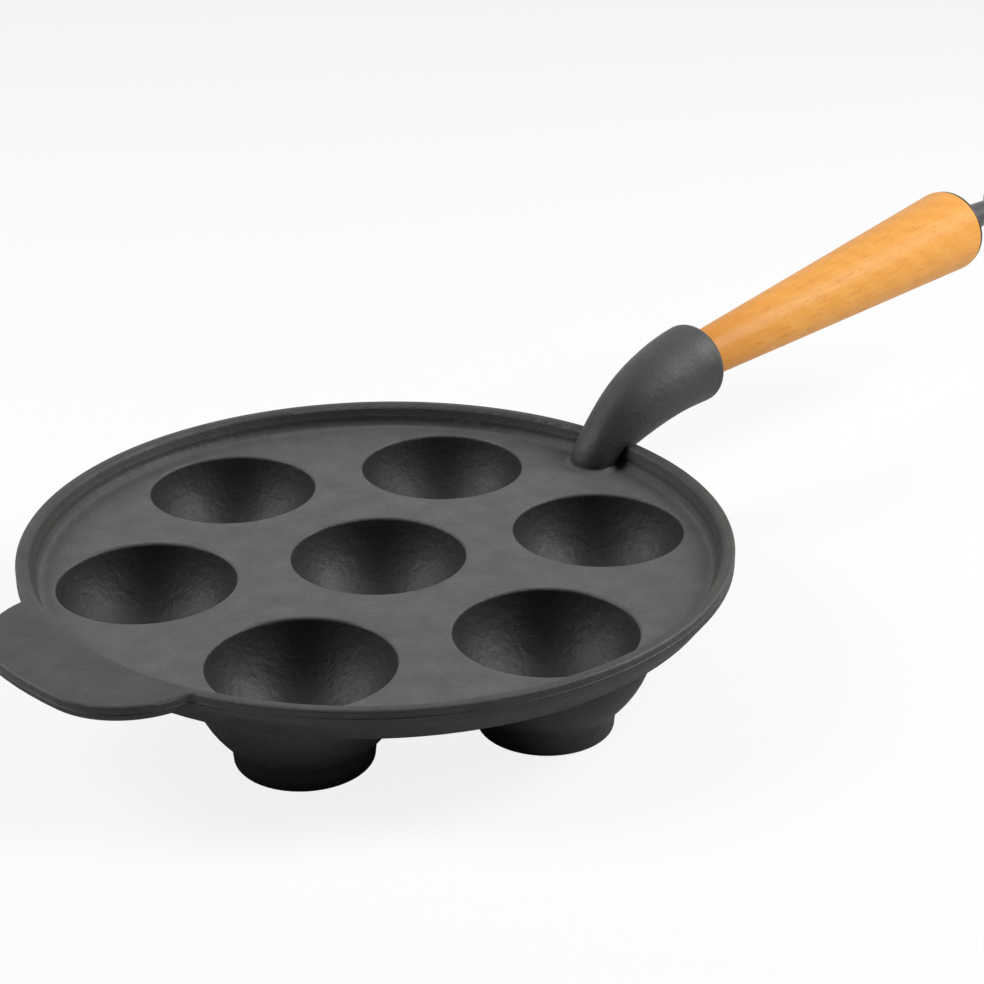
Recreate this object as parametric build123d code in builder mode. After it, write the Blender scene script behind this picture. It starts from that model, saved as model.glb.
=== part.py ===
"""A cast-iron pan for round pancake balls: seven cups in a rimmed plate, a helper tab, and a
turned wooden handle that a long threaded rod clamps into the socket of the casting.

Millimetres, +Z up. The origin is the middle of the pan on the surface that it stands on.
The handle runs out along +X, the helper tab along -X, and y = 0 is the mirror plane.
"""
from build123d import *
import math
import os

# Cups: one in the middle and a ring around it
ring_cup_count = 6
cup_web = 17.5
first_cup_angle = 30.0
cup_mouth_radius = 28.0
cup_depth = 27.0
cup_wall = 4.6
cup_lip_round = 0.7

# Flat foot below each cup
cup_floor = 4.0
foot_radius = 20.7
foot_draft = 6.0
foot_height = 12.0
foot_edge_round = 1.2
foot_root_round = 6.0

# Plate and pouring rim
plate_thickness = 4.0
cup_to_cove = 2.3
cove_radius = 4.0
rim_height = 8.0
rim_base_width = 4.95
rim_top_width = 3.75
rim_inner_round = 2.0
rim_outer_round = 1.0
wall_height = 4.7
skirt_inset = 5.25
skirt_round = 1.5

# Helper tab, flush with the top of the rim and as thick as the rim's outer wall is high
tab_reach = 20.45
tab_half_width = 39.7
tab_corner_sink = 0.4
tab_root_round = 3.0
tab_under_round = 1.2

# Handle axis and the socket that the handle sits in
handle_tilt = 4.8
socket_reach = 43.75
socket_axis_height = 25.0
socket_radius = 14.8
sleeve_back_radius = 14.4
socket_drop = 0.8
sleeve_length = 7.0
socket_mouth_round = 3.2
socket_depth = 20.0

# Foot of the neck, where it stands on the plate and the rim
foot_inset = 12.15
foot_sink = 1.5
foot_half_length = 6.0
foot_half_width = 8.0
foot_lean = 10.0
neck_root_flare = 3.0
neck_root_bury = 0.3
neck_root_steps = 4

# Wooden handle
handle_length = 161.0
handle_front_radius = 8.5
handle_back_radius = 16.7
handle_end_round = 1.5
spigot_chamfer = 1.0
spigot_clearance = 0.1

# Tie rod through the handle
rod_radius = 3.0
rod_grip = 13.0
tapped_depth = 14.0
thread_clearance = 0.05
rod_bore_clearance = 0.4
rod_chamfer = 0.6

# End washer and hanging eye
washer_radius = 16.2
washer_thickness = 1.0
washer_edge_round = 0.4
eye_collar_radius = 10.5
eye_collar_height = 1.2
eye_shank_radius = 5.7
eye_neck_radius = 3.4
eye_shank_length = 35.0
eye_radius = 11.0
eye_hole_radius = 6.0
eye_thickness = 6.6
eye_outer_round = 2.6
eye_hole_round = 1.2

# Heights and places that follow from the sizes above
plate_top = cup_floor + cup_depth
plate_bottom = plate_top - plate_thickness
rim_top = plate_top + rim_height
wall_bottom = rim_top - wall_height
# The ring is as tight as its webs allow, to the middle cup and from one ring cup to the next
ring_spread = max(1, 0.5 / math.sin(math.pi / ring_cup_count))
ring_cup_pitch = (2 * cup_mouth_radius + cup_web) * ring_spread
plate_flat_radius = ring_cup_pitch + cup_mouth_radius + cup_to_cove
rim_outer_radius = plate_flat_radius + cove_radius + rim_base_width
cup_sphere_radius = (cup_mouth_radius ** 2 + cup_depth ** 2) / (2 * cup_depth)
cup_centre_height = cup_floor + cup_sphere_radius
bowl_radius = cup_sphere_radius + cup_wall

# The tab's corner arcs end just inside the rim, level with the tab's sides
tab_radius = rim_outer_radius + tab_reach
tab_corner_end = rim_outer_radius - tab_corner_sink
tab_corner_round = (tab_radius ** 2 - tab_corner_end ** 2) / (2 * (tab_radius - tab_half_width))

tilt = math.radians(handle_tilt)
along = Vector(math.cos(tilt), 0, math.sin(tilt))
upward = Vector(-math.sin(tilt), 0, math.cos(tilt))
socket_mouth = Vector(rim_outer_radius + socket_reach, 0, plate_top + socket_axis_height)
handle_axis = Axis(socket_mouth, along)
# Sections drawn on this plane have x along the handle from the socket mouth, y away from its axis
handle_section = Plane(origin=socket_mouth, x_dir=along, z_dir=(0, -1, 0))

spigot_radius = handle_front_radius - spigot_clearance
socket_bore_radius = spigot_radius + spigot_clearance
rod_bore_radius = rod_radius + rod_bore_clearance
tapped_radius = rod_radius + thread_clearance
washer_start = handle_length
eye_start = washer_start + washer_thickness
eye_centre = eye_start + eye_shank_length + eye_radius

# Neck stations between the foot of the neck and the start of the straight socket sleeve:
# share of the run, share of the rise, lean of the section in degrees, and its half length
# and half width as shares of the socket radius
neck_stations = [
    (0.046, 0.207, 23.5, 0.493, 0.564),
    (0.205, 0.444, 50.8, 0.623, 0.645),
    (0.373, 0.637, 60.5, 0.747, 0.747),
    (0.546, 0.788, 68.0, 0.831, 0.831),
    (0.717, 0.896, 74.5, 0.892, 0.892),
    (0.867, 0.961, 79.5, 0.938, 0.938),
]
neck_foot = Vector(rim_outer_radius - foot_inset, 0, plate_top - foot_sink)
sleeve_mouth = socket_mouth - upward * socket_drop
sleeve_start = sleeve_mouth - along * sleeve_length
neck_run = sleeve_start - neck_foot


def corner_near(sketch, x, y):
    """The corner of a sketch that lies nearest to a point of its plane."""
    return min(sketch.vertices(), key=lambda corner: math.hypot(corner.X - x, corner.Y - y))


def neck_plane(run_share, rise_share, lean):
    """Plane of one neck section; lean is how far it is turned up from level towards the handle."""
    place = neck_foot + Vector(neck_run.X * run_share, 0, neck_run.Z * rise_share)
    turn = math.radians(lean)
    return Plane(origin=place, x_dir=(0, 1, 0), z_dir=(math.sin(turn), 0, math.cos(turn)))


def cup_places():
    """Locations of the cup centres over the origin plane: the middle one and the ring."""
    return [Location((0, 0, 0))] + [
        Location((ring_cup_pitch * math.cos(turn), ring_cup_pitch * math.sin(turn), 0))
        for turn in (
            math.radians(first_cup_angle + 360 * number / ring_cup_count)
            for number in range(ring_cup_count)
        )
    ]


# Outside of one cup: a ball that runs into a drafted flat foot in a soft hollow, cut off inside the
# plate. The hollow follows the circle where ball and foot meet, above the foot's rounded edge.
with BuildPart() as bowl:
    with Locations((0, 0, cup_centre_height)):
        Sphere(bowl_radius)
    with BuildSketch(Plane.XY):
        Circle(foot_radius)
    extrude(amount=foot_height, taper=-foot_draft)
    split(bisect_by=Plane.XY.offset(plate_bottom + plate_thickness / 2), keep=Keep.BOTTOM)
    split(bisect_by=Plane.XY, keep=Keep.TOP)
    fillet(bowl.faces().sort_by(Axis.Z)[0].edges(), foot_edge_round)
    upper_circles = [
        edge for edge in bowl.edges().filter_by(GeomType.CIRCLE) if edge.center().Z > 2 * foot_edge_round
    ]
    fillet(min(upper_circles, key=lambda edge: edge.radius), foot_root_round)

# Round plate with its cove, rim and drafted skirt, turned about the middle of the pan
with BuildPart() as plate:
    with BuildSketch(Plane.YZ) as plate_half:
        cove_end = (plate_flat_radius + cove_radius, plate_top + cove_radius)
        rim_inner_corner = (rim_outer_radius - rim_top_width, rim_top)
        skirt_corner = (rim_outer_radius - skirt_inset, plate_bottom)
        with BuildLine():
            Polyline((0, plate_bottom), (0, plate_top), (plate_flat_radius, plate_top))
            RadiusArc((plate_flat_radius, plate_top), cove_end, -cove_radius)
            Polyline(
                cove_end,
                rim_inner_corner,
                (rim_outer_radius, rim_top),
                (rim_outer_radius, wall_bottom),
                skirt_corner,
                (0, plate_bottom),
            )
        make_face()
        fillet(corner_near(plate_half, *rim_inner_corner), rim_inner_round)
        fillet(corner_near(plate_half, *skirt_corner), skirt_round)
    revolve(axis=Axis.Z)

# Helper tab: an arc about the middle of the pan whose rounded corners run back to the rim
with BuildPart() as tab:
    with BuildSketch(Plane.XY.offset(rim_top)) as outline:
        rim_middle_radius = rim_outer_radius - rim_top_width / 2
        corner_x = -math.sqrt(tab_radius ** 2 - tab_half_width ** 2)
        root_x = -math.sqrt(rim_middle_radius ** 2 - tab_half_width ** 2)
        with BuildLine():
            RadiusArc((corner_x, tab_half_width), (corner_x, -tab_half_width), -tab_radius)
            Line((corner_x, -tab_half_width), (root_x, -tab_half_width))
            RadiusArc((root_x, -tab_half_width), (root_x, tab_half_width), rim_middle_radius)
            Line((root_x, tab_half_width), (corner_x, tab_half_width))
        make_face()
        for side in (1, -1):
            fillet(corner_near(outline, corner_x, side * tab_half_width), tab_corner_round)
    extrude(amount=-wall_height)
    under_edges = tab.faces().sort_by(Axis.Z)[0].edges().sort_by(Axis.X)[:-1]
    fillet(under_edges, tab_under_round)

# Neck: a round arm that leaves the plate steeply, bends over the rim and swells into the socket
with BuildPart() as neck:
    with BuildSketch(neck_plane(0, 0, foot_lean)):
        Ellipse(foot_half_width, foot_half_length)
    for run_share, rise_share, lean, half_length, half_width in neck_stations:
        with BuildSketch(neck_plane(run_share, rise_share, lean)):
            Ellipse(half_width * socket_radius, half_length * socket_radius)
    with BuildSketch(Plane(origin=sleeve_start, x_dir=(0, 1, 0), z_dir=along)):
        Circle(sleeve_back_radius)
    loft()
    with BuildSketch(Plane(origin=sleeve_mouth, x_dir=along, z_dir=(0, -1, 0))) as sleeve_half:
        with BuildLine():
            Polyline(
                (-sleeve_length, 0),
                (0, 0),
                (0, socket_radius),
                (-sleeve_length, sleeve_back_radius),
                close=True,
            )
        make_face()
        fillet(corner_near(sleeve_half, 0, socket_radius), socket_mouth_round)
    revolve(axis=Axis(sleeve_mouth, along))

# Flared root of the neck: its sides run out over the plate in a hollow quarter-round, whose top
# lies just inside the neck
with BuildPart() as neck_root:
    for step in range(neck_root_steps + 1):
        swing = math.radians(90 * step / neck_root_steps)
        rise = neck_root_flare * (1 - math.cos(swing))
        reach = neck_root_flare * (1 - math.sin(swing)) - neck_root_bury * step / neck_root_steps
        root_centre = neck_foot.X + (foot_sink + rise) * math.tan(math.radians(foot_lean))
        with BuildSketch(Plane.XY.offset(plate_top + rise)):
            with Locations((root_centre, 0)):
                Ellipse(foot_half_length + reach, foot_half_width + reach)
    loft()

# Socket bore for the handle and the tapped hole for the rod at its bottom
with BuildPart() as socket_bore:
    with BuildSketch(handle_section):
        with BuildLine():
            Polyline(
                (socket_mouth_round, 0),
                (socket_mouth_round, socket_bore_radius),
                (-socket_depth, socket_bore_radius),
                (-socket_depth, tapped_radius),
                (-socket_depth - tapped_depth, tapped_radius),
                (-socket_depth - tapped_depth, 0),
                close=True,
            )
        make_face()
    revolve(axis=handle_axis)

# The casting: plate, rim, tab, cups and neck are poured in one piece
with BuildPart() as pan_casting:
    add(plate.part)
    add(tab.part)
    fillet(new_edges(plate.part, tab.part, combined=pan_casting.part), tab_root_round)
    fillet(pan_casting.faces().sort_by(Axis.Z)[-1].outer_wire().edges(), rim_outer_round)
    add(neck.part)
    add(neck_root.part)
    with Locations(cup_places()):
        add(bowl.part)
    with Locations(*[place * Pos(0, 0, cup_centre_height) for place in cup_places()]):
        Sphere(cup_sphere_radius, mode=Mode.SUBTRACT)
    cup_mouths = [
        edge
        for edge in pan_casting.edges().filter_by(GeomType.CIRCLE)
        if abs(edge.center(CenterOf.BOUNDING_BOX).Z - plate_top) < 1e-3
        and abs(edge.radius - cup_mouth_radius) < 1e-3
    ]
    fillet(cup_mouths, cup_lip_round)
    add(socket_bore.part, mode=Mode.SUBTRACT)

# Beech handle: a long cone that thickens to its end, with a straight spigot in the socket
with BuildPart() as wood_handle:
    with BuildSketch(handle_section) as handle_half:
        with BuildLine():
            Polyline(
                (-socket_depth, rod_bore_radius),
                (-socket_depth, spigot_radius),
                (0, spigot_radius),
                (0, handle_front_radius),
                (handle_length, handle_back_radius),
                (handle_length, rod_bore_radius),
                close=True,
            )
        make_face()
        chamfer(corner_near(handle_half, -socket_depth, spigot_radius), spigot_chamfer)
        fillet(corner_near(handle_half, handle_length, handle_back_radius), handle_end_round)
    revolve(axis=handle_axis)

# Threaded rod, drawn at its outer thread radius
with BuildPart() as tie_rod:
    with BuildSketch(Plane(origin=handle_section.origin - along * (socket_depth + rod_grip), z_dir=along)):
        Circle(rod_radius)
    extrude(amount=socket_depth + rod_grip + eye_start + rod_grip)
    chamfer(tie_rod.edges().filter_by(GeomType.CIRCLE), rod_chamfer)

# Steel washer that covers the end grain
with BuildPart() as end_washer:
    with BuildSketch(handle_section) as washer_half:
        with BuildLine():
            Polyline(
                (washer_start, rod_bore_radius),
                (washer_start, washer_radius),
                (eye_start, washer_radius),
                (eye_start, rod_bore_radius),
                close=True,
            )
        make_face()
        fillet(corner_near(washer_half, eye_start, washer_radius), washer_edge_round)
    revolve(axis=handle_axis)

# Hanging eye: a tapped shank that narrows from its collar to a flat ring in line with the pan
with BuildPart() as hanging_eye:
    with BuildSketch(handle_section):
        shank_waist = (eye_start + tapped_depth, eye_shank_radius)
        shank_tip = (eye_centre - (eye_radius + eye_hole_radius) / 2, eye_neck_radius)
        collar_top = (eye_start + eye_collar_height, eye_collar_radius)
        with BuildLine():
            Polyline((eye_start, 0), (eye_start, eye_collar_radius), collar_top)
            Spline(collar_top, shank_waist, shank_tip, tangents=[(0.5, -1), (1, -0.1)])
            Polyline(shank_tip, (shank_tip[0], 0), (eye_start, 0))
        make_face()
    revolve(axis=handle_axis)
    eye_middle = socket_mouth + along * eye_centre
    with BuildSketch(Plane(origin=eye_middle, x_dir=along, z_dir=(0, -1, 0))) as eye_half:
        with Locations(((eye_radius + eye_hole_radius) / 2, 0)):
            Rectangle(eye_radius - eye_hole_radius, eye_thickness)
        fillet(eye_half.vertices().group_by(Axis.X)[0], eye_hole_round)
        fillet(eye_half.vertices().group_by(Axis.X)[-1], eye_outer_round)
    revolve(axis=Axis(eye_middle, upward))
    with BuildSketch(Plane(origin=socket_mouth + along * eye_start, x_dir=(0, 1, 0), z_dir=along)):
        Circle(tapped_radius)
    extrude(amount=tapped_depth, mode=Mode.SUBTRACT)

pieces = {
    "pan_casting": pan_casting,
    "wood_handle": wood_handle,
    "tie_rod": tie_rod,
    "end_washer": end_washer,
    "hanging_eye": hanging_eye,
}
os.makedirs("parts", exist_ok=True)
for name, piece in pieces.items():
    piece.part.label = name
    export_step(piece.part, f"parts/{name}.step")
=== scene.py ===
"""The look of a cast-iron pan for round pancake balls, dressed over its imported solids.

Metres, +Z up, in the solids' own frame: the origin is under the middle cup on the surface the pan
stands on, the handle runs out along +X and the helper tab points along -X.
"""
import math

import bmesh
import bpy
import numpy as np
from mathutils import Matrix, Vector


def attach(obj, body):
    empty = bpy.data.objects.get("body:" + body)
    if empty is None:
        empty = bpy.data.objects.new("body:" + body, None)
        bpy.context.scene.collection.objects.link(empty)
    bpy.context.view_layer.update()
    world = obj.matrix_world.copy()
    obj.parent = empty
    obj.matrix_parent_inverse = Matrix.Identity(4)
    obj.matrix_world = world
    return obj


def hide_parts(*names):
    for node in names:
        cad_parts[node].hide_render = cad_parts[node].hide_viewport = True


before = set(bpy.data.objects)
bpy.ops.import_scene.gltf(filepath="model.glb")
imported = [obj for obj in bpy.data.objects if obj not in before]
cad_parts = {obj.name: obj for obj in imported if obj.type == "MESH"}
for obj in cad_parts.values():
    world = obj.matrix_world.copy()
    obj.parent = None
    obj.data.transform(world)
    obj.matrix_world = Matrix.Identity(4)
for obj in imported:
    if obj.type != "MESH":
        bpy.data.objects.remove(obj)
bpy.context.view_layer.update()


# The photograph's eye: from in front of the tab and to the left of it, a little above the rim.
# The lens fills a square picture, so that the end of the handle runs out of its right side.
eye_place = Vector((-0.397235, -0.444063, 0.319127))
eye_right = Vector((0.70347, -0.71073, 0.0))
eye_forward = Vector((0.64863, 0.64201, -0.40878))
eye_up = eye_right.cross(eye_forward)

photo_camera = bpy.data.cameras.new("photo_camera")
photo_camera.sensor_width = 36.0
photo_camera.lens = 75.82
photo_camera.clip_start = 0.02
photo_camera.clip_end = 50.0
camera_object = bpy.data.objects.new("photo_camera", photo_camera)
bpy.context.scene.collection.objects.link(camera_object)
eye_turn = Matrix((eye_right, eye_up, -eye_forward)).transposed().to_4x4()
camera_object.matrix_world = Matrix.Translation(eye_place) @ eye_turn
bpy.context.scene.camera = camera_object
bpy.context.scene.view_settings.view_transform = "Standard"


# The casting: grey iron poured in a sand mould, tumbled and oiled. The plate was rubbed down and is
# the palest part, the cups and the foot of the neck keep a coarse, nearly black skin, and the mould's
# parting runs round the rim.
cup_pitch, cup_count, first_cup_angle = 0.0735, 6, 30
cup_centre_height = 0.03202
plate_top, wall_bottom = 0.031, 0.0343
parting_height, parting_relief = 0.0362, 2.0
plate_colour = (0.0705, 0.0735, 0.0680)
rim_colour = (0.0335, 0.0355, 0.0315)
outside_colour = (0.026, 0.027, 0.023)
coarse_skin_colour = (0.0145, 0.0155, 0.0140)
socket_colour = (0.048, 0.049, 0.046)
fine_grain_size, fine_unevenness = 0.0009, 0.35
coarse_grain_size, coarse_unevenness, coarse_relief = 0.0018, 0.8, 1.95
iron_bump_depth = 0.00016
iron_roughness, roughness_per_tone = 0.59, 0.25


def node(tree, kind, inputs=(), **settings):
    """Adds one shader node, sets its settings, and fills its inputs with values or with sockets."""
    made = tree.nodes.new(kind)
    for name, value in settings.items():
        setattr(made, name, value)
    for key, value in dict(inputs).items():
        if isinstance(value, bpy.types.NodeSocket):
            tree.links.new(value, made.inputs[key])
        else:
            made.inputs[key].default_value = value
    return made


def math_node(tree, operation, a, b=0.0, c=0.0):
    """One value worked out from up to three others."""
    return node(tree, "ShaderNodeMath", {0: a, 1: b, 2: c}, operation=operation).outputs[0]


def vector_node(tree, operation, a, b=(0.0, 0.0, 0.0), c=(0.0, 0.0, 0.0)):
    """The outputs of one vector operation on up to three others."""
    return node(tree, "ShaderNodeVectorMath", {0: a, 1: b, 2: c}, operation=operation).outputs


def noise(tree, place, scale, detail, roughness=0.5, distortion=0.0):
    """Smooth noise of scale cells to the metre, as the texture node with its Fac and Color outputs."""
    return node(tree, "ShaderNodeTexNoise", {
        "Vector": place, "Scale": scale, "Detail": detail, "Roughness": roughness, "Distortion": distortion,
    }).outputs


def ramp_between(tree, value, low, high):
    """0 at low, 1 at high, smooth between; low may be the larger of the two."""
    return node(
        tree, "ShaderNodeMapRange", {0: value, 1: low, 2: high}, interpolation_type="SMOOTHSTEP"
    ).outputs[0]


def region(tree, *limits):
    """1 where each (value, low, high) has come to its high end, 0 where one is still at its low end."""
    share = ramp_between(tree, *limits[0])
    for limit in limits[1:]:
        share = math_node(tree, "MULTIPLY", share, ramp_between(tree, *limit))
    return share


def mix_colour(tree, share, a, b):
    """Colour a where share is 0 and colour b where it is 1."""
    mixer = node(tree, "ShaderNodeMix", {0: share}, data_type="RGBA")
    for key, value in ((6, a), (7, b)):
        if isinstance(value, bpy.types.NodeSocket):
            tree.links.new(value, mixer.inputs[key])
        else:
            mixer.inputs[key].default_value = (*value, 1.0)
    return mixer.outputs[2]


def tint(tree, colour, share, towards):
    """The colour, taken by share times its strength towards another: share is (mask, strength)."""
    return mix_colour(tree, math_node(tree, "MULTIPLY", *share), colour, towards)


def new_group(name, inputs, outputs):
    """An empty shader group with float or vector inputs (name, kind, default) and its outputs."""
    group = bpy.data.node_groups.new(name, "ShaderNodeTree")
    for label, kind, default in inputs:
        socket = group.interface.new_socket(label, in_out="INPUT", socket_type=kind)
        if default is not None:
            socket.default_value = default
    for label, kind in outputs:
        group.interface.new_socket(label, in_out="OUTPUT", socket_type=kind)
    return group, group.nodes.new("NodeGroupInput").outputs, group.nodes.new("NodeGroupOutput").inputs


def new_material(name):
    """A material with one Principled shader, and the piece's own coordinates."""
    material = bpy.data.materials.new(name)
    material.use_nodes = True
    tree = material.node_tree
    place = tree.nodes.new("ShaderNodeTexCoord").outputs["Object"]
    return material, tree, tree.nodes["Principled BSDF"], place


def raise_bump(tree, shader, height, depth, strength=1.0):
    """Stands the height out of the surface by depth, in the shader's normal."""
    bump = node(tree, "ShaderNodeBump", {"Strength": strength, "Distance": depth, "Height": height})
    tree.links.new(bump.outputs[0], shader.inputs["Normal"])


def dress(name, material):
    """Gives every material slot of a node of the solids this material."""
    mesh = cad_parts[name].data
    for index in range(len(mesh.materials)):
        mesh.materials[index] = material


# Sand grain: the mould's fine grains over wavy lumps and a slower unevenness. Tone varies about 1.
grain_group, grain_in, grain_out = new_group(
    "sand_grain",
    [("Place", "NodeSocketVector", None), ("Grain Size", "NodeSocketFloat", 0.0008),
     ("Unevenness", "NodeSocketFloat", 0.4)],
    [("Tone", "NodeSocketFloat"), ("Height", "NodeSocketFloat")],
)
per_grain = math_node(grain_group, "DIVIDE", 1.0, grain_in["Grain Size"])
per_lump = math_node(grain_group, "MULTIPLY", per_grain, 0.36)
per_patch = math_node(grain_group, "MULTIPLY", per_grain, 0.09)
grains = noise(grain_group, grain_in["Place"], per_grain, 3.0, 0.62)[0]
lumps = noise(grain_group, grain_in["Place"], per_lump, 2.0, 0.5, 0.8)[0]
patches = noise(grain_group, grain_in["Place"], per_patch, 3.0, 0.55)[0]
height = math_node(grain_group, "MULTIPLY_ADD", grains, 0.6, math_node(grain_group, "MULTIPLY", lumps, 0.8))
height = math_node(grain_group, "MULTIPLY_ADD", patches, grain_in["Unevenness"], height)
tone = 1.0
for pattern, contrast in ((patches, 0.70), (grains, 0.55)):
    about_zero = math_node(grain_group, "SUBTRACT", pattern, 0.5)
    tone = math_node(grain_group, "MULTIPLY_ADD", about_zero, contrast, tone)
grain_group.links.new(tone, grain_out["Tone"])
grain_group.links.new(height, grain_out["Height"])


def sand_grain(tree, place, grain_size, unevenness):
    """The Tone and Height of the shared sand grain at this size."""
    return node(
        tree, "ShaderNodeGroup", {"Place": place, "Grain Size": grain_size, "Unevenness": unevenness},
        node_tree=grain_group,
    ).outputs


iron, tree, shader, place = new_material("seasoned_cast_iron")
along_handle, across, up = node(tree, "ShaderNodeSeparateXYZ", {0: place}).outputs
from_middle = math_node(tree, "ABSOLUTE", across)
from_axis = math_node(tree, "SQRT", math_node(
    tree, "MULTIPLY_ADD", along_handle, along_handle, math_node(tree, "MULTIPLY", across, across)))
cup_angles = [math.radians(first_cup_angle + 360 / cup_count * cup) for cup in range(cup_count)]
to_cup = vector_node(tree, "DISTANCE", place, (0.0, 0.0, cup_centre_height))["Value"]
for angle in cup_angles:
    cup_centre = (cup_pitch * math.cos(angle), cup_pitch * math.sin(angle), cup_centre_height)
    to_cup = math_node(tree, "MINIMUM", to_cup, vector_node(tree, "DISTANCE", place, cup_centre)["Value"])

in_cup = region(tree, (to_cup, 0.0302, 0.0290), (up, plate_top - 0.0002, plate_top - 0.0012))
rubbed = region(tree, (from_axis, 0.1086, 0.1066), (up, plate_top + 0.0060, plate_top + 0.0036))
below = region(tree, (up, 0.0295, 0.0285), (to_cup, 0.0300, 0.0310))
on_skirt = region(tree, (from_axis, 0.1060, 0.1066), (up, wall_bottom + 0.0004, wall_bottom - 0.0004))
on_neck = region(tree, (from_middle, 0.0175, 0.0120), (up, plate_top, plate_top + 0.002),
                 (along_handle, 0.090, 0.096))
on_socket = ramp_between(tree, along_handle, 0.104, 0.132)

colour = mix_colour(tree, rubbed, rim_colour, plate_colour)
colour = mix_colour(tree, math_node(tree, "MAXIMUM", on_skirt, below), colour, outside_colour)
colour = mix_colour(tree, in_cup, colour, coarse_skin_colour)
neck_colour = mix_colour(tree, on_socket, coarse_skin_colour, socket_colour)
colour = mix_colour(tree, on_neck, colour, neck_colour)

fine_skin = sand_grain(tree, place, fine_grain_size, fine_unevenness)
coarse_skin = sand_grain(tree, place, coarse_grain_size, coarse_unevenness)
coarser = math_node(tree, "SUBTRACT", coarse_skin["Tone"], fine_skin["Tone"])
tone = math_node(tree, "MULTIPLY_ADD", in_cup, coarser, fine_skin["Tone"])
tree.links.new(vector_node(tree, "MULTIPLY", colour, tone)[0], shader.inputs["Base Color"])

from_parting = math_node(tree, "ABSOLUTE", math_node(tree, "SUBTRACT", up, parting_height))
parting = region(tree, (from_parting, 0.0005, 0.0001), (from_axis, 0.1119, 0.1124))
fine_height = math_node(tree, "MULTIPLY_ADD", parting, parting_relief, fine_skin["Height"])
coarse_height = math_node(tree, "MULTIPLY", coarse_skin["Height"], coarse_relief)
higher = math_node(tree, "SUBTRACT", coarse_height, fine_height)
raise_bump(tree, shader, math_node(tree, "MULTIPLY_ADD", in_cup, higher, fine_height), iron_bump_depth)
darker = math_node(tree, "SUBTRACT", 1.0, fine_skin["Tone"])
tree.links.new(math_node(tree, "MULTIPLY_ADD", darker, roughness_per_tone, iron_roughness),
               shader.inputs["Roughness"])
dress("pan_casting", iron)


# The round on the rim's outer edge belongs to the casting. The solid's mesh shows it in coarse facets,
# so a finer ring of the same round lies over them and sinks into the iron on both sides.
rim_edge_radius, rim_edge_height, rim_edge_round = 0.11175, 0.038, 0.001
rim_edge_top_leg, rim_edge_wall_leg = (-1.2, 0.96), (0.92, -0.8)


def rim_edge_surface(turn_steps=480, round_steps=10):
    """A quarter circle carried about the vertical axis, closed by two short legs inside the iron.

    In units of the round's radius from the round's centre, the section is (sin, cos) of an angle that
    runs from 0, level with the rim's top, to a quarter turn, at the wall. One leg goes on inward from
    each end, and the corner between the legs closes it.
    """
    (top_out, top_up), (wall_out, wall_up) = rim_edge_top_leg, rim_edge_wall_leg
    angle = np.linspace(0.0, np.pi / 2, round_steps)
    outward = np.concatenate(([top_out, top_out], np.sin(angle), [wall_out]))
    upward = np.concatenate(([wall_up, top_up], np.cos(angle), [wall_up]))
    around = np.linspace(0.0, 2 * np.pi, turn_steps, endpoint=False)[:, None]
    radius = rim_edge_radius + rim_edge_round * outward
    height = rim_edge_height + rim_edge_round * upward + 0.0 * around
    return np.stack((radius * np.cos(around), radius * np.sin(around), height), -1)


def closed_piece(name, points, rows_join):
    """A closed mesh from a grid of points whose columns join up round it.

    Its rows join up too where rows_join is set, and otherwise the first and last rows each lie in one
    point. Points in one place are merged, and the faces are turned outward.
    """
    rows, columns = points.shape[:2]
    number = np.arange(rows * columns).reshape(rows, columns)
    next_row, next_column = np.roll(number, -1, axis=0), np.roll(number, -1, axis=1)
    quads = np.stack((number, next_row, np.roll(next_row, -1, axis=1), next_column), -1)
    if not rows_join:
        quads = quads[:-1]
    mesh = bpy.data.meshes.new(name)
    mesh.from_pydata(points.reshape(-1, 3), [], quads.reshape(-1, 4).tolist())
    work = bmesh.new()
    work.from_mesh(mesh)
    bmesh.ops.remove_doubles(work, verts=work.verts, dist=1e-6)
    bmesh.ops.recalc_face_normals(work, faces=work.faces)
    work.to_mesh(mesh)
    work.free()
    piece = bpy.data.objects.new(name, mesh)
    bpy.context.scene.collection.objects.link(piece)
    return piece


rim_edge = closed_piece("rim_edge", rim_edge_surface(), rows_join=True)
rim_edge.data.shade_smooth()
rim_edge.data.materials.append(iron)
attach(rim_edge, "root")


# The handle: beech, turned to a long cone and clear-varnished. Short dark rays lie along the grain,
# over slow rings of a slightly different tone. Next to the socket the wood is painted darker, partly
# as wood darkened by the hot socket and partly as painted shade that the socket casts on it.
mouth = Vector((0.1565, 0.0, 0.056))
handle_tilt = math.radians(4.8)
beech_colour = (0.85, 0.375, 0.073)
beech_ray_colour = (0.60, 0.215, 0.036)
beech_pale_colour = (0.91, 0.44, 0.107)
grain_stretch = (1.0, 9.0, 9.0)
rays_per_metre, fibres_per_metre, rings_per_metre, bends_per_metre = 210.0, 60.0, 42.0, 11.0
ring_bend = (0.012, 0.012, 0.012)
# Length of the darkening next to the socket: partly painted shade of the socket, partly heat-darkened wood.
socket_shade_and_scorch_length = 0.050

beech, tree, shader, place = new_material("varnished_beech")
on_handle = node(
    tree, "ShaderNodeMapping", {"Vector": place, "Location": mouth, "Rotation": (0.0, -handle_tilt, 0.0)},
    vector_type="TEXTURE",
).outputs[0]
stretched = vector_node(tree, "MULTIPLY", on_handle, grain_stretch)[0]
ray_mask = ramp_between(tree, noise(tree, stretched, rays_per_metre, 2.0)[0], 0.60, 0.70)
fibres = noise(tree, stretched, fibres_per_metre, 4.0, 0.6)[0]
bends = noise(tree, on_handle, bends_per_metre, 2.0)["Color"]
ring_place = vector_node(tree, "MULTIPLY_ADD", bends, ring_bend, on_handle)[0]
rings = node(tree, "ShaderNodeTexWave", {"Vector": ring_place, "Scale": rings_per_metre, "Distortion": 2.0,
                                         "Detail": 2.0, "Detail Scale": 1.5},
             wave_type="BANDS", bands_direction="DIAGONAL").outputs["Fac"]
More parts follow.
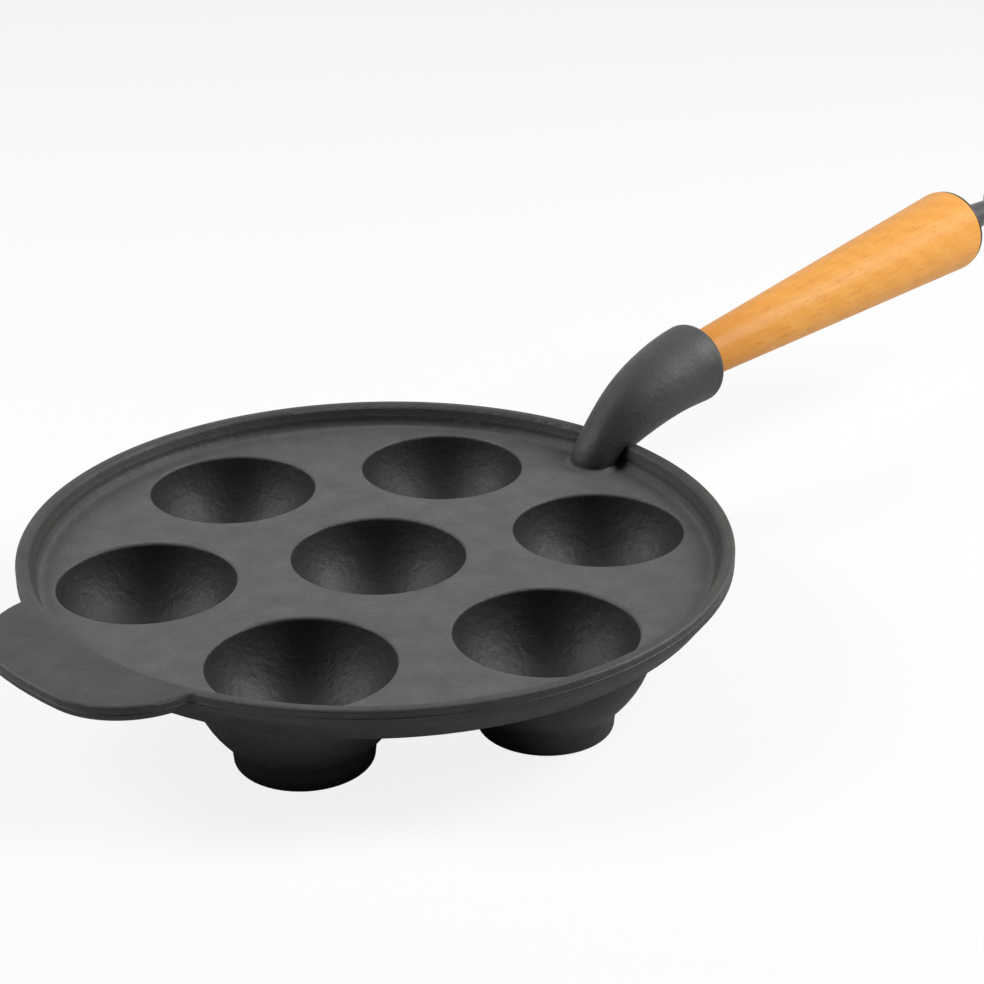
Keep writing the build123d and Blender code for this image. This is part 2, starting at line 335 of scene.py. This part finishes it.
from_mouth = node(tree, "ShaderNodeSeparateXYZ", {0: on_handle}).outputs[0]
colour = tint(tree, beech_colour, (rings, 0.45), beech_pale_colour)
colour = tint(tree, colour, (ramp_between(tree, fibres, 0.40, 0.70), 0.22), beech_ray_colour)
colour = tint(tree, colour, (ray_mask, 0.55), beech_ray_colour)
# Painted shade next to the socket, mixed with real heat darkening: darker towards the socket's mouth.
colour = tint(tree, colour, (ramp_between(tree, from_mouth, socket_shade_and_scorch_length, 0.0), 0.50), beech_ray_colour)
tree.links.new(colour, shader.inputs["Base Color"])
raise_bump(tree, shader, fibres, 0.00008, 0.5)
tree.links.new(math_node(tree, "MULTIPLY_ADD", ray_mask, 0.12, 0.42), shader.inputs["Roughness"])
shader.inputs["Specular IOR Level"].default_value = 0.15
dress("wood_handle", beech)


# The tie rod: a plain steel stud with a rolled thread at each end, one for the bottom of the socket
# and one for the hanging eye. The wood hides all of it.
rod_radius, thread_depth, thread_pitch = 0.003, 0.00061, 0.001
rod_ends = (-0.033, 0.175)
threaded_length = 0.015
end_bevel = 0.9
dark_steel_colour, pale_steel_colour = (0.46, 0.46, 0.47), (0.62, 0.62, 0.61)
drawn_lines_per_metre = (40.0, 900.0, 900.0)
along = np.array((math.cos(handle_tilt), 0.0, math.sin(handle_tilt)))
sideways = np.array((0.0, 1.0, 0.0))
square_up = np.array((-math.sin(handle_tilt), 0.0, math.cos(handle_tilt)))


def stud_surface(turn_steps=20, rows_per_pitch=8):
    """A round bar whose radius dips by a triangle wave of (distance / pitch - turn) near its ends.

    Distance and turn are the two parameters. The dip fades out over one pitch at both ends of each
    thread, and the first and last rows shrink to a point, so that the bar is closed.
    """
    first, last = rod_ends
    step = thread_pitch / rows_per_pitch
    threaded = np.arange(0.0, threaded_length + step / 2, step)
    distance = np.concatenate(([first, first], first + threaded, last - threaded[::-1], [last, last]))
    turn = np.linspace(0.0, 2 * np.pi, turn_steps, endpoint=False)
    s, t = np.meshgrid(distance, turn, indexing="ij")
    wave = np.abs(2 * np.mod(s / thread_pitch - t / (2 * np.pi), 1.0) - 1)
    inner = np.minimum(s - first, last - s)
    fade = np.clip(inner / thread_pitch, 0, 1) * np.clip((threaded_length - inner) / thread_pitch, 0, 1)
    radius = rod_radius - thread_depth * (wave * fade + end_bevel * np.clip(1 - inner / thread_pitch, 0, 1))
    radius[0] = radius[-1] = 0.0
    rim = radius[..., None] * (np.cos(t)[..., None] * sideways + np.sin(t)[..., None] * square_up)
    return np.array(mouth) + s[..., None] * along + rim


steel, tree, shader, place = new_material("rolled_steel")
drawn = noise(tree, vector_node(tree, "MULTIPLY", place, drawn_lines_per_metre)[0], 1.0, 3.0)[0]
tree.links.new(mix_colour(tree, drawn, dark_steel_colour, pale_steel_colour), shader.inputs["Base Color"])
tree.links.new(math_node(tree, "MULTIPLY_ADD", drawn, 0.2, 0.28), shader.inputs["Roughness"])
shader.inputs["Metallic"].default_value = 1.0
stud = closed_piece("threaded_stud", stud_surface(), rows_join=False)
stud.data.materials.append(steel)
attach(stud, "root")
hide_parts("tie_rod")


# The end washer and the hanging eye: steel, stoved satin black. The washer covers the end grain,
# and the eye's shank is the nut of the rod.
black_colour = (0.030, 0.029, 0.030)

black_steel, tree, shader, place = new_material("stoved_black_steel")
skin = sand_grain(tree, place, 0.0006, 0.5)
tree.links.new(vector_node(tree, "MULTIPLY", black_colour, skin["Tone"])[0], shader.inputs["Base Color"])
raise_bump(tree, shader, skin["Height"], 0.00006, 0.5)
tree.links.new(math_node(tree, "MULTIPLY_ADD", skin["Tone"], -0.15, 0.55), shader.inputs["Roughness"])
dress("end_washer", black_steel)
dress("hanging_eye", black_steel)


# The studio: a white table, and two tall soft boxes beside the pan, a little behind it. The room
# behind the eye is dark, so that what faces the eye stays dark; the rest is white to the eye.
pan_middle = (0.03, 0.0, 0.03)
box_width, box_height = 0.48, 0.70
away_from_eye = (0.7107, 0.7035, 0.0)
room_colour, table_colour = (0.04, 0.04, 0.04), (0.75, 0.75, 0.75)
seen_room_colour, seen_table_colour = (1.0, 1.0, 1.0), (0.95, 0.95, 0.95)
table_glow = 0.86
table_half_width = 6


def soft_box(name, place_at, watts):
    """A rectangular soft box that faces the middle of the pan."""
    lamp = bpy.data.lights.new(name, "AREA")
    lamp.shape = "RECTANGLE"
    lamp.size, lamp.size_y, lamp.energy = box_width, box_height, watts
    box = bpy.data.objects.new(name, lamp)
    bpy.context.scene.collection.objects.link(box)
    box.location = place_at
    box.rotation_euler = (Vector(place_at) - Vector(pan_middle)).to_track_quat("Z", "Y").to_euler()


def shown_white(tree, reach, low, high):
    """1 for what the eye sees straight, or mirrored in the pan from the far side, where reach runs
    from low to high away from the eye; 0 for light that only brightens the pan."""
    path = tree.nodes.new("ShaderNodeLightPath").outputs
    away = vector_node(tree, "DOT_PRODUCT", reach, away_from_eye)["Value"]
    mirrored = math_node(tree, "MULTIPLY", path["Is Glossy Ray"], ramp_between(tree, away, low, high))
    seen = math_node(tree, "MAXIMUM", path["Is Camera Ray"], mirrored)
    return math_node(tree, "MAXIMUM", seen, path["Is Transmission Ray"])


soft_box("left_soft_box", (-0.659, 0.638, 0.777), 9.5)
soft_box("right_soft_box", (0.735, -0.570, 0.780), 12.6)

world = bpy.data.worlds.new("white_room")
bpy.context.scene.world = world
world.use_nodes = True
tree = world.node_tree
seen_share = shown_white(tree, tree.nodes.new("ShaderNodeTexCoord").outputs["Generated"], -0.5, 0.3)
room_light = mix_colour(tree, seen_share, room_colour, seen_room_colour)
tree.links.new(room_light, tree.nodes["Background"].inputs["Color"])

table_corners = np.array([(-1, -1, 0), (1, -1, 0), (1, 1, 0), (-1, 1, 0)]) * table_half_width
floor_mesh = bpy.data.meshes.new("studio_floor")
floor_mesh.from_pydata(table_corners.tolist(), [], [(0, 1, 2, 3)])
floor = bpy.data.objects.new("studio_floor", floor_mesh)
bpy.context.scene.collection.objects.link(floor)
floor_material = bpy.data.materials.new("white_table")
floor_material.use_nodes = True
tree = floor_material.node_tree
tree.nodes.clear()
seen_share = shown_white(tree, tree.nodes.new("ShaderNodeNewGeometry").outputs["Position"], 0.15, 0.9)
matte = node(tree, "ShaderNodeBsdfDiffuse",
             {"Color": mix_colour(tree, seen_share, table_colour, seen_table_colour)}).outputs[0]
glow = node(tree, "ShaderNodeEmission", {"Color": (1.0, 1.0, 1.0, 1.0), "Strength": 1.0}).outputs[0]
share = math_node(tree, "MULTIPLY", seen_share, table_glow)
mixed = node(tree, "ShaderNodeMixShader", {0: share, 1: matte, 2: glow}).outputs[0]
node(tree, "ShaderNodeOutputMaterial", {0: mixed})
floor_mesh.materials.append(floor_material)
